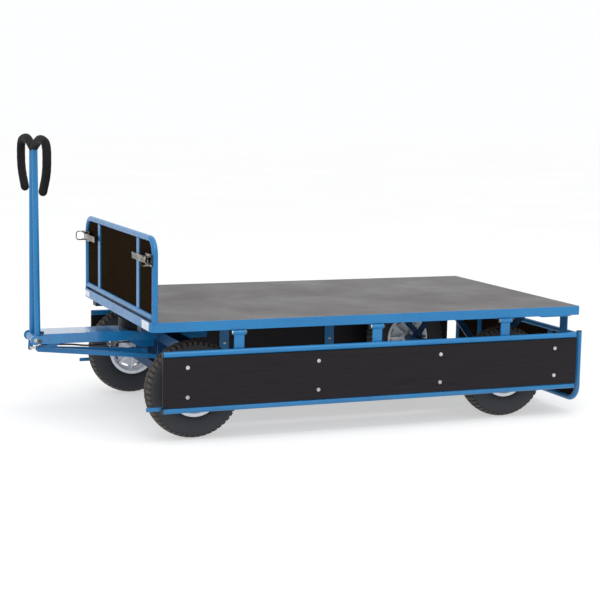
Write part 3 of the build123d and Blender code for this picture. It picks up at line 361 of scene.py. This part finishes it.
MATERIALS = {
    "blue_paint": paint_blue("paint_blue", rgb(20, 108, 164), rgb(28, 117, 173), coat=0.14),
    "blue_arm": paint_blue("paint_arm", rgb(2, 104, 162), rgb(8, 114, 172), coat=1.0),
    # Painted shade: a darker copy of the blue paint, standing in for the shade under the bed.
    "blue_below": paint_blue("paint_below", rgb(0, 50, 90), rgb(2, 64, 108), coat=0.05),
    "ring_steel": ring_steel(),
    "deck_wood": board_film("deck_film", rgb(40, 35, 32), rgb(58, 52, 49), "X", gloss=0.30, specular=0.20),
    "side_wood": board_film("side_film", rgb(12, 8, 11), rgb(29, 24, 30), "X", gloss=0.40, specular=0.20),
    "head_wood": board_film("head_film", rgb(30, 22, 14), rgb(40, 30, 21), "Y", gloss=0.46, specular=0.0),
    "zinc_steel": zinc("zinc_plate", 0.85, rgb(222, 224, 222), rgb(186, 183, 168)),
    "zinc_latch": zinc("zinc_latch", 0.95, rgb(176, 176, 170), rgb(112, 104, 88)),
    "zinc_bolt": zinc("zinc_bolt", 0.2, rgb(214, 216, 218), rgb(180, 180, 174)),
    "rim_silver": rim_paint(),
    "tyre_rubber": tyre_rubber(),
    "black_foam": foam_black(),
    "black_plastic": plastic_black("plastic_black", rgb(22, 22, 24), rgb(48, 47, 47)),
    "black_rubber": plastic_black("rubber_black", rgb(16, 16, 17), rgb(38, 37, 37)),
    "label_white": label_white(),
}
# The parts under the bed, which wear the painted-shade copy of the blue paint.
SHADED_UNDERSIDE = ("underframe_rails", "bed_crossmembers", "rear_axle", "rear_axle_hangers", "front_axle",
             "bogie_bolster", "bogie_hangers")


def look_of(node):
    """The name of the material that a CAD node wears."""
    if node == "drawbar_arm":
        return "blue_arm"
    if node.startswith("turntable"):
        return "ring_steel"
    if node.startswith("latch"):
        return "zinc_latch"
    if node in SHADED_UNDERSIDE:
        return "blue_below"
    if SLOT_OF[node] == "panel_wood":
        return "side_wood" if node.startswith("side") else "head_wood"
    return SLOT_OF[node]


for node, obj in NODES.items():
    obj.data.materials.clear()
    obj.data.materials.append(MATERIALS[look_of(node)])


# ---------------------------------------------------------------- mesh helpers


def make_object(name, vertices, faces, material):
    """A smooth-shaded mesh object from plain lists."""
    mesh = bpy.data.meshes.new(name)
    mesh.from_pydata([tuple(v) for v in vertices], [], faces)
    mesh.update()
    for polygon in mesh.polygons:
        polygon.use_smooth = True
    obj = bpy.data.objects.new(name, mesh)
    bpy.context.scene.collection.objects.link(obj)
    obj.data.materials.append(MATERIALS[material])
    return obj


def circle(count):
    """Evenly spaced angles once round, without the full turn."""
    return [2 * math.pi * step / count for step in range(count)]


def band(first, second):
    """The quads between two closed rows of vertex numbers."""
    count = len(first)
    return [(first[k], first[(k + 1) % count], second[(k + 1) % count], second[k]) for k in range(count)]


class Shape:
    """Collects vertices and faces of several bits into one mesh."""

    def __init__(self):
        """Starts empty."""
        self.vertices = []
        self.faces = []

    def add(self, vertices, faces, matrix=None):
        """Takes in one more bit, moved by the matrix if there is one."""
        start = len(self.vertices)
        for vertex in vertices:
            point = Vector(vertex)
            self.vertices.append(matrix @ point if matrix else point)
        self.faces += [tuple(start + index for index in face) for face in faces]

    def lathe(self, profile, segments, matrix):
        """Turns (radius, height) points about Z; a radius near 0 closes an end."""
        vertices = [(radius * math.cos(angle), radius * math.sin(angle), height)
                    for angle in circle(segments) for radius, height in profile]
        rows = [list(range(row, len(vertices), len(profile))) for row in range(len(profile))]
        faces = [face for first, second in zip(rows, rows[1:]) for face in band(first, second)]
        self.add(vertices, faces, matrix)

    def tube(self, points, radii, segments):
        """A round tube through points with a radius at each, closed at both ends."""
        points = [Vector(p) for p in points]
        tangent = (points[1] - points[0]).normalized()
        helper = Vector((0, 0, 1)) if abs(tangent.z) < 0.9 else Vector((1, 0, 0))
        side = tangent.cross(helper).normalized()
        vertices = []
        for index, point in enumerate(points):
            before = points[max(index - 1, 0)]
            after = points[min(index + 1, len(points) - 1)]
            tangent = (after - before).normalized()
            side = (side - tangent * side.dot(tangent)).normalized()
            other = tangent.cross(side)
            vertices += [point + radii[index] * (math.cos(angle) * side + math.sin(angle) * other)
                         for angle in circle(segments)]
        rings = [list(range(start, start + segments)) for start in range(0, len(vertices), segments)]
        faces = [face for first, second in zip(rings, rings[1:]) for face in band(first, second)]
        faces.append(tuple(reversed(rings[0])))
        faces.append(tuple(rings[-1]))
        self.add(vertices, faces)

    def build(self, name, material, body, smooth_angle=40, replaced=()):
        """Makes the object, marks edges sharper than the angle, and lets it ride on a body."""
        obj = make_object(name, self.vertices, self.faces, material)
        work = bmesh.new()
        work.from_mesh(obj.data)
        bmesh.ops.remove_doubles(work, verts=work.verts, dist=1e-6)
        bmesh.ops.recalc_face_normals(work, faces=work.faces)
        for edge in work.edges:
            if len(edge.link_faces) == 2 and edge.calc_face_angle(0) > math.radians(smooth_angle):
                edge.smooth = False
        work.to_mesh(obj.data)
        work.free()
        if body:
            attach(obj, body)
        if replaced:
            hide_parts(*replaced)
        return obj


def smooth_path(points, steps):
    """Points along a Catmull-Rom curve through the given points."""
    points = [Vector(p) for p in points]
    padded = [2 * points[0] - points[1], *points, 2 * points[-1] - points[-2]]
    result = []
    for a, b, c, d in zip(padded, padded[1:], padded[2:], padded[3:]):
        for step in range(steps):
            t = step / steps
            result.append(0.5 * (2 * b + (c - a) * t + (2 * a - 5 * b + 4 * c - d) * t * t
                                 + (3 * b - a - 3 * c + d) * t**3))
    return result + [points[-1]]


def islands(node):
    """(lowest, highest) corner of each separate solid of a CAD node."""
    mesh = NODES[node].data
    parent = list(range(len(mesh.vertices)))

    def root(index):
        """The vertex that stands for all those joined to this one."""
        while parent[index] != index:
            parent[index] = parent[parent[index]]
            index = parent[index]
        return index

    for first, second in (edge.vertices for edge in mesh.edges):
        parent[root(first)] = root(second)
    positions = {}
    for vertex in mesh.vertices:
        key = tuple(round(value, 5) for value in vertex.co)
        if key in positions:
            parent[root(vertex.index)] = root(positions[key])
        else:
            positions[key] = vertex.index
    groups = {}
    for vertex in mesh.vertices:
        groups.setdefault(root(vertex.index), []).append(vertex.co)
    found = []
    for group in groups.values():
        low = Vector([min(point[k] for point in group) for k in range(3)])
        high = Vector([max(point[k] for point in group) for k in range(3)])
        found.append((low, high))
    return sorted(found, key=lambda pair: tuple(round(v, 4) for v in pair[0]))


def middle_of(corners):
    """The point halfway between two corners."""
    low, high = corners
    return (low + high) / 2


def pointing(place, direction):
    """A matrix that puts a shape's Z axis along a direction at a place."""
    turn = Vector((0, 0, 1)).rotation_difference(Vector(direction)).to_matrix().to_4x4()
    return Matrix.Translation(place) @ turn


# ---------------------------------------------------------------- tyres


def smoothstep(low, high, value):
    """0 below low, 1 above high, and a smooth rise between them."""
    part = np.clip((value - low) / (high - low), 0, 1)
    return part * part * (3 - 2 * part)


def tyre_outline():
    """The tyre's cross-section: distance along it from the tread's middle, side offset and radius."""
    half = [(0.0, TYRE_RADIUS), (0.010, 0.2046), (0.020, 0.2030), (0.029, 0.2005), (0.0365, 0.1972),
            (0.0425, 0.1915), (0.0462, 0.184), (0.0485, 0.174), (0.0497, 0.162), (0.0496, 0.150),
            (0.048, 0.137), (0.0450, 0.126), (0.0405, 0.1175), (0.0357, 0.1127), (0.0335, 0.1095)]
    right = smooth_path([(w, r, 0) for w, r in half], 6)
    outline = np.array([(-p.x, p.y) for p in reversed(right[1:])] + [(p.x, p.y) for p in right])
    steps = np.linalg.norm(np.diff(outline, axis=0), axis=1)
    along = np.concatenate([[0], np.cumsum(steps)])
    along -= along[len(along) // 2]
    tread = np.linspace(-0.052, 0.052, 85)
    wall = np.linspace(0.0545, along[-1], 26)
    rows = np.sort(np.concatenate([tread, wall, -wall]))
    return rows, np.interp(rows, along, outline[:, 0]), np.interp(rows, along, outline[:, 1])


def tread_blocks(across, phase):
    """1 on a rubber block and 0 in a groove; across is in mm from the middle, phase counts pitches."""
    zigzag = np.abs((phase % 1.0) * 2 - 1) * 2 - 1
    rib = 1 - smoothstep(*RIB_EDGE, np.abs(across - RIB_SWING * zigzag))
    sipe = np.abs(((phase + SIPE_SLANT * across) % 1.0) - 0.5)
    rib *= smoothstep(*SIPE_EDGE, sipe)
    side = np.sign(across)
    lug_phase = (phase + 0.25 * side + LUG_SLANT * np.abs(across) * side) % 1.0
    from_lug = np.abs(lug_phase - 0.5)
    inner_edge = LUG_START + LUG_SWING * zigzag * side
    lug = (1 - smoothstep(*LUG_EDGE, from_lug)) * smoothstep(0.0, 1.2, np.abs(across) - inner_edge)
    notch = smoothstep(*LUG_NOTCH, from_lug)
    lug *= np.where(np.abs(across) > NOTCH_END, 1.0, 0.35 + 0.65 * notch)
    return np.maximum(rib, lug)


def tyre_mesh():
    """A pneumatic tyre with a zigzag centre rib, shoulder lugs and moulded rings on the walls."""
    along, width, radius = tyre_outline()
    angle = np.arange(TYRE_STEPS) * 2 * math.pi / TYRE_STEPS
    across, phase = np.meshgrid(along * 1000, angle * TREAD_PITCHES / (2 * math.pi), indexing="ij")
    from_middle = np.abs(across)
    groove = (1 - tread_blocks(across, phase)) * (1 - smoothstep(*TREAD_FADE, from_middle))
    wall_rings = smoothstep(0.4, 0.9, np.cos((from_middle - 70) * 0.75)) * (np.abs(from_middle - 72) < 13)
    depth = TREAD_DEPTH * groove + 0.0005 * wall_rings
    slope_w = np.gradient(width, along)
    slope_r = np.gradient(radius, along)
    slope = np.hypot(slope_w, slope_r)
    ring_w = width[:, None] + depth * (slope_r / slope)[:, None]
    ring_r = radius[:, None] + depth * (-slope_w / slope)[:, None]
    x = ring_r * np.cos(angle)[None, :]
    z = ring_r * np.sin(angle)[None, :]
    vertices = np.stack([x, ring_w, z], axis=-1).reshape(-1, 3)
    rings = np.arange(len(vertices)).reshape(-1, TYRE_STEPS).tolist()
    faces = [face for first, second in zip(rings, rings[1:]) for face in band(first, second)]
    mesh = bpy.data.meshes.new("tyre")
    mesh.from_pydata(vertices.tolist(), [], faces)
    mesh.update()
    for polygon in mesh.polygons:
        polygon.use_smooth = True
    for name, values in (("groove", groove), ("tread", 1 - smoothstep(*DUST_FADE, from_middle))):
        attribute = mesh.attributes.new(name, "FLOAT", "POINT")
        attribute.data.foreach_set("value", values.reshape(-1).astype(np.float32))
    mesh.materials.append(MATERIALS["tyre_rubber"])
    return mesh


WHEELS = {name: name.replace("tyre_", "").replace("_", "_wheel_")
          for name in NODES if name.startswith("tyre_")}
shared_tyre = tyre_mesh()
for turn, (node, body) in enumerate(sorted(WHEELS.items())):
    rubber = shared_tyre.copy()
    rubber.transform(Matrix.Rotation(0.31 * turn, 4, "Y"))
    tyre = bpy.data.objects.new("tread_" + node, rubber)
    bpy.context.scene.collection.objects.link(tyre)
    tyre.matrix_world = Matrix.Translation(middle_of(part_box(node)))
    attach(tyre, body)
    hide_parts(node)


# ---------------------------------------------------------------- foam grips

GRIP_X = middle_of(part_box("handle_grips")).x


def foam_grip(shape, side):
    """Adds the foam sleeve over one horn of the handle, rounded at the horn's free end."""
    middle = [(0.200, 0.5040), (0.228, 0.5315), (0.258, 0.5620), (0.279, 0.5980), (0.2855, 0.6400),
              (0.2825, 0.6780), (0.263, 0.7030), (0.228, 0.7125), (0.180, 0.7175), (0.136, 0.7165),
              (0.095, 0.7075), (0.055, 0.6945), (0.013, 0.6815)]
    path = smooth_path([(GRIP_X, side * y, z) for y, z in middle], 8)
    radii = [GRIP_RADIUS + 0.0002 * math.sin(index * 0.9) for index in range(len(path))]
    start = path[0]
    back = (path[0] - path[1]).normalized()
    cap = [(start + back * GRIP_RADIUS * math.sin(a), GRIP_RADIUS * math.cos(a))
           for a in (1.50, 1.35, 1.15, 0.9, 0.6, 0.3)]
    lip = path[-1] + (path[-1] - path[-2]).normalized() * 0.0015
    points = [point for point, radius in cap] + path + [lip]
    sizes = [radius for point, radius in cap] + radii + [GRIP_RADIUS - 0.0016]
    shape.tube(points, sizes, 28)


grips = Shape()
foam_grip(grips, 1)
foam_grip(grips, -1)
grips.build("foam_grips", "black_foam", "tiller", 50, ["handle_grips"])


# ---------------------------------------------------------------- bolts and nuts


def dome_head(shape, place, direction, radius):
    """A mushroom bolt head with its square neck hidden in the board."""
    parts = [(0.98, 0), (1, 0.08), (0.94, 0.19), (0.76, 0.27), (0.5, 0.325), (0.2, 0.345)]
    profile = [(radius * out, radius * up) for out, up in parts]
    profile.append((0.0002, 0.35 * radius))
    shape.lathe(profile, 28, pointing(place, direction))


def hex_nut(shape, place, direction, turn):
    """A washer, a chamfered hexagon nut and the rounded end of its bolt."""
    matrix = pointing(place, direction) @ Matrix.Rotation(turn, 4, "Z")
    washer = [(NUT_RADIUS * 1.02, 0), (NUT_RADIUS * 1.02, 0.0011), (NUT_RADIUS * 0.97, WASHER_HEIGHT),
              (BOLT_RADIUS, WASHER_HEIGHT)]
    shape.lathe(washer, 28, matrix)
    corner = NUT_RADIUS / math.cos(math.pi / 6) * 0.86
    top = WASHER_HEIGHT + NUT_HEIGHT
    rows = [(0.93, WASHER_HEIGHT), (1.0, WASHER_HEIGHT + 0.12 * NUT_HEIGHT),
            (1.0, WASHER_HEIGHT + 0.86 * NUT_HEIGHT), (0.88, top)]
    vertices = [(corner * factor * math.cos(angle), corner * factor * math.sin(angle), level)
                for factor, level in rows for angle in circle(6)]
    rings = [list(range(start, start + 6)) for start in range(0, len(vertices), 6)]
    faces = [face for first, second in zip(rings, rings[1:]) for face in band(first, second)]
    faces.append(tuple(rings[-1]))
    shape.add(vertices, faces, matrix)
    bolt_end = [(BOLT_RADIUS, top - 0.001), (BOLT_RADIUS, top + 0.0022), (BOLT_RADIUS * 0.8, top + 0.003),
                (0.0002, top + 0.0031)]
    shape.lathe(bolt_end, 20, matrix)


def carriage_bolts(node, body, axis, head_side, with_nuts):
    """The detailed bolts of one CAD node, in the place of each of its solids."""
    bits = Shape()
    direction = Vector((0, 0, 0))
    direction[axis] = head_side
    for number, (low, high) in enumerate(islands(node)):
        head_end, nut_end = (high, low) if head_side > 0 else (low, high)
        seat = middle_of((low, high))
        seat[axis] = head_end[axis] - head_side * BOLT_HEAD_SUNK
        dome_head(bits, seat, direction, BOLT_HEAD_RADIUS)
        if with_nuts:
            nut = middle_of((low, high))
            nut[axis] = nut_end[axis] + head_side * NUT_SEAT
            hex_nut(bits, nut, -direction, 0.7 * number)
    bits.build("carriage_" + node, "zinc_bolt", body, 35, [node])


carriage_bolts("side_left_bolts", "side_left", 1, 1, True)
carriage_bolts("side_right_bolts", "side_right", 1, -1, True)
carriage_bolts("headboard_bolts", "chassis", 0, -1, False)
carriage_bolts("tail_bolts", "tail", 0, -1, False)


# ---------------------------------------------------------------- weld beads


def bead(shape, start, end, radius, seed):
    """A rippled weld bead between two points."""
    start = Vector(start)
    end = Vector(end)
    count = max(6, int((end - start).length / 0.0022))
    local = np.random.default_rng(seed)
    sizes = radius * (1 + 0.16 * np.sin(np.arange(count) * 1.9) + 0.06 * local.standard_normal(count))
    points = [start.lerp(end, index / (count - 1)) for index in range(count)]
    shape.tube(points, [float(size) for size in sizes], 8)


def ring_bead(shape, points, radius, ripple):
    """A rippled weld bead along a ring of points round a tube."""
    shape.tube(points, [radius + 0.0003 * math.sin(k * ripple) for k in range(len(points))], 8)


def side_welds(side, name):
    """The beads round the ends of one side panel's flat bars and hinge straps."""
    shape = Shape()
    y = side * SIDE_BAR_BEAD_Y
    for number, x in enumerate(SIDE_BAR_X):
        for z in (SIDE_TUBE_Z[0] - SIDE_TUBE_BEAD, SIDE_TUBE_Z[1] + SIDE_TUBE_BEAD):
            bead(shape, (x - SIDE_BAR_HALF, y, z), (x + SIDE_BAR_HALF, y, z), 0.0020, number)
    y = side * SIDE_STRAP_BEAD_Y
    low, high = SIDE_STRAP_BEAD_Z
    for number, x in enumerate(SIDE_STRAP_X):
        for edge in (x - SIDE_STRAP_HALF, x + SIDE_STRAP_HALF):
            bead(shape, (edge, y, low), (edge, y, high), 0.0018, 20 + number)
    shape.build(f"welds_{name}", "blue_paint", name, 60)


def head_welds():
    """The beads at the headboard's bar ends, its post feet and the ends of its cross tube."""
    shape = Shape()
    x = HEAD_BEAD_X
    for number, y in enumerate(HEAD_BAR_Y):
        for z in HEAD_BEAD_Z:
            bead(shape, (x, y - HEAD_BAR_HALF, z), (x, y + HEAD_BAR_HALF, z), 0.0018, 40 + number)
    angles = np.linspace(0, 2 * math.pi, 33)
    for side in (-1, 1):
        foot = [(POST_X + POST_BEAD_RADIUS * math.cos(a), side * (POST_Y + POST_BEAD_RADIUS * math.sin(a)),
                 POST_BEAD_Z) for a in angles]
        ring_bead(shape, foot, 0.0019, 2.1)
        joint = [(POST_X + CROSS_BEAD_RADIUS * math.cos(a), side * CROSS_TUBE_Y,
                  CROSS_TUBE_Z + CROSS_BEAD_RADIUS * math.sin(a)) for a in angles]
        ring_bead(shape, joint, 0.0017, 2.3)
    shape.build("welds_headboard", "blue_paint", "chassis", 60)


side_welds(1, "side_left")
side_welds(-1, "side_right")
head_welds()


# ---------------------------------------------------------------- valve stems, brake wire, labels


def valve_stem(node, body, turn):
    """A rubber tyre valve with its cap, standing out of the rim beside the flange."""
    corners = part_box(node)
    outward = 1 if corners[0].y > 0 else -1
    stem = Shape()
    place = Matrix.Rotation(turn, 4, "Y") @ Matrix.Translation((VALVE_FROM_AXLE, VALVE_OUT, 0.0))
    lean = place @ Matrix.Rotation(VALVE_LEAN, 4, "X")
    stem.lathe([(0.0002, 0.0), (0.0052, 0.0), (0.0046, 0.010), (0.0040, 0.022), (0.0044, 0.0225),
                (0.0044, 0.031), (0.0034, 0.033), (0.0002, 0.0331)], 16, lean)
    placed = Shape()
    flip = Matrix.Translation(middle_of(corners)) @ Matrix.Diagonal((1, outward, 1, 1))
    placed.add(stem.vertices, stem.faces, flip)
    placed.build("valve_" + body, "black_rubber", body, 40)


for number, (node, body) in enumerate(sorted(WHEELS.items())):
    valve_stem(node, body, 0.9 + 1.3 * number)


def brake_wire():
    """The bare wire from the brake cable's front end to the fork on the tiller, bowed up at its middle."""
    cable_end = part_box("brake_cable")[1].x
    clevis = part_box("brake_clevis")
    wire_start = Vector((cable_end - 0.001, 0.006, 0.331 + GROUND))
    wire_end = Vector((clevis[0].x + 0.002, 0.0, middle_of(clevis).z))
    middle = (wire_start + wire_end) / 2 + Vector((0, 0, 0.002))
    points = smooth_path([wire_start, middle, wire_end], 8)
    wire = Shape()
    wire.tube(points, [WIRE_RADIUS] * len(points), 10)
    wire_object = wire.build("brake_wire", "zinc_steel", None)
    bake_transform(wire_object)


brake_wire()
RIM_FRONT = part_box("bed_rim")[1].x


def label(name, y0, y1, z0, z1):
    """A thin white label with rounded corners on the rim's front face."""
    centres = ((y1 - LABEL_CORNER, z1 - LABEL_CORNER), (y0 + LABEL_CORNER, z1 - LABEL_CORNER),
               (y0 + LABEL_CORNER, z0 + LABEL_CORNER), (y1 - LABEL_CORNER, z0 + LABEL_CORNER))
    outline = []
    for quarter, (cy, cz) in enumerate(centres):
        for step in range(5):
            angle = math.pi / 2 * (quarter + step / 4)
            outline.append((cy + LABEL_CORNER * math.cos(angle), cz + LABEL_CORNER * math.sin(angle)))
    back = [(RIM_FRONT, y, z) for y, z in outline]
    front = [(RIM_FRONT + LABEL_THICKNESS, y, z) for y, z in outline]
    front_ring = [len(back) + k for k in range(len(front))]
    shape = Shape()
    shape.add(back + front, band(list(range(len(back))), front_ring) + [tuple(front_ring)])
    shape.build(name, "label_white", "chassis")


label("label_near", 0.452, 0.560, -0.0385, -0.004)
label("label_far", -0.572, -0.486, -0.034, -0.009)


# ---------------------------------------------------------------- floor, light, camera


def floor():
    """A plain pale floor that glows a little, so that it stays even far from the lights."""
    g = Graph("floor_pale")
    cloud = g.noise(0.6, 2.0, 0.5)
    color = g.mix(g.ramp(cloud, 0.3, 0.7), (0.48, 0.48, 0.48, 1), (0.50, 0.50, 0.50, 1))
    g.feed(g.shader, "Emission Color", (1.0, 1.0, 1.0, 1))
    g.feed(g.shader, "Emission Strength", 0.5)
    g.feed(g.shader, "Specular IOR Level", 0.0)
    material = g.finish(color, 0.9, [])
    mesh = bpy.data.meshes.new("floor")
    reach = 60
    corners = ((-reach, -reach), (reach, -reach), (reach, reach), (-reach, reach))
    mesh.from_pydata([(x, y, GROUND) for x, y in corners], [], [(0, 1, 2, 3)])
    obj = bpy.data.objects.new("floor", mesh)
    bpy.context.scene.collection.objects.link(obj)
    obj.data.materials.append(material)


def softbox(name, place, target, size, power):
    """A rectangular area light aimed at a point."""
    light = bpy.data.lights.new(name, "AREA")
    light.shape = "RECTANGLE"
    light.size, light.size_y = size
    light.energy = power
    obj = bpy.data.objects.new(name, light)
    obj.location = place
    aim = Vector(target) - Vector(place)
    obj.rotation_euler = aim.to_track_quat("-Z", "Y").to_euler()
    bpy.context.scene.collection.objects.link(obj)


def world():
    """Even pale surroundings."""
    scene_world = bpy.data.worlds.new("studio")
    bpy.context.scene.world = scene_world
    scene_world.use_nodes = True
    background = scene_world.node_tree.nodes["Background"]
    background.inputs["Color"].default_value = (0.985, 0.99, 1.0, 1)
    background.inputs["Strength"].default_value = 1.0


def camera(place, turns, lens):
    """A camera at a place, from its (yaw, pitch, roll) in degrees and its lens in mm."""
    yaw, pitch, roll = (math.radians(a) for a in turns)
    forward = Vector((math.cos(pitch) * math.cos(yaw), math.cos(pitch) * math.sin(yaw), -math.sin(pitch)))
    level = Vector((math.sin(yaw), -math.cos(yaw), 0))
    upright = level.cross(forward)
    right = math.cos(roll) * level + math.sin(roll) * upright
    up = -math.sin(roll) * level + math.cos(roll) * upright
    data = bpy.data.cameras.new("camera")
    data.sensor_width = 36
    data.lens = lens
    data.clip_end = 200
    obj = bpy.data.objects.new("camera", data)
    matrix = Matrix((right, up, -forward)).transposed().to_4x4()
    matrix.translation = place
    obj.matrix_world = matrix
    bpy.context.scene.collection.objects.link(obj)
    bpy.context.scene.camera = obj


floor()
world()
softbox("key", (0.5, 1.5, 4.5), (0.2, 0, 0), (4.5, 3.5), 60)
softbox("front", (4.5, 4.0, 2.4), (0.3, 0, 0), (3.0, 2.2), 22)
softbox("strip", (-0.2, 3.6, 4.6), (0.0, 0.6, -0.2), (6.0, 0.5), 70)
camera((2.4963, 5.9834, 1.3502 + GROUND), (-111.6236, 7.6432, 0.9653), 84.287)
bpy.context.scene.view_settings.view_transform = "Standard"
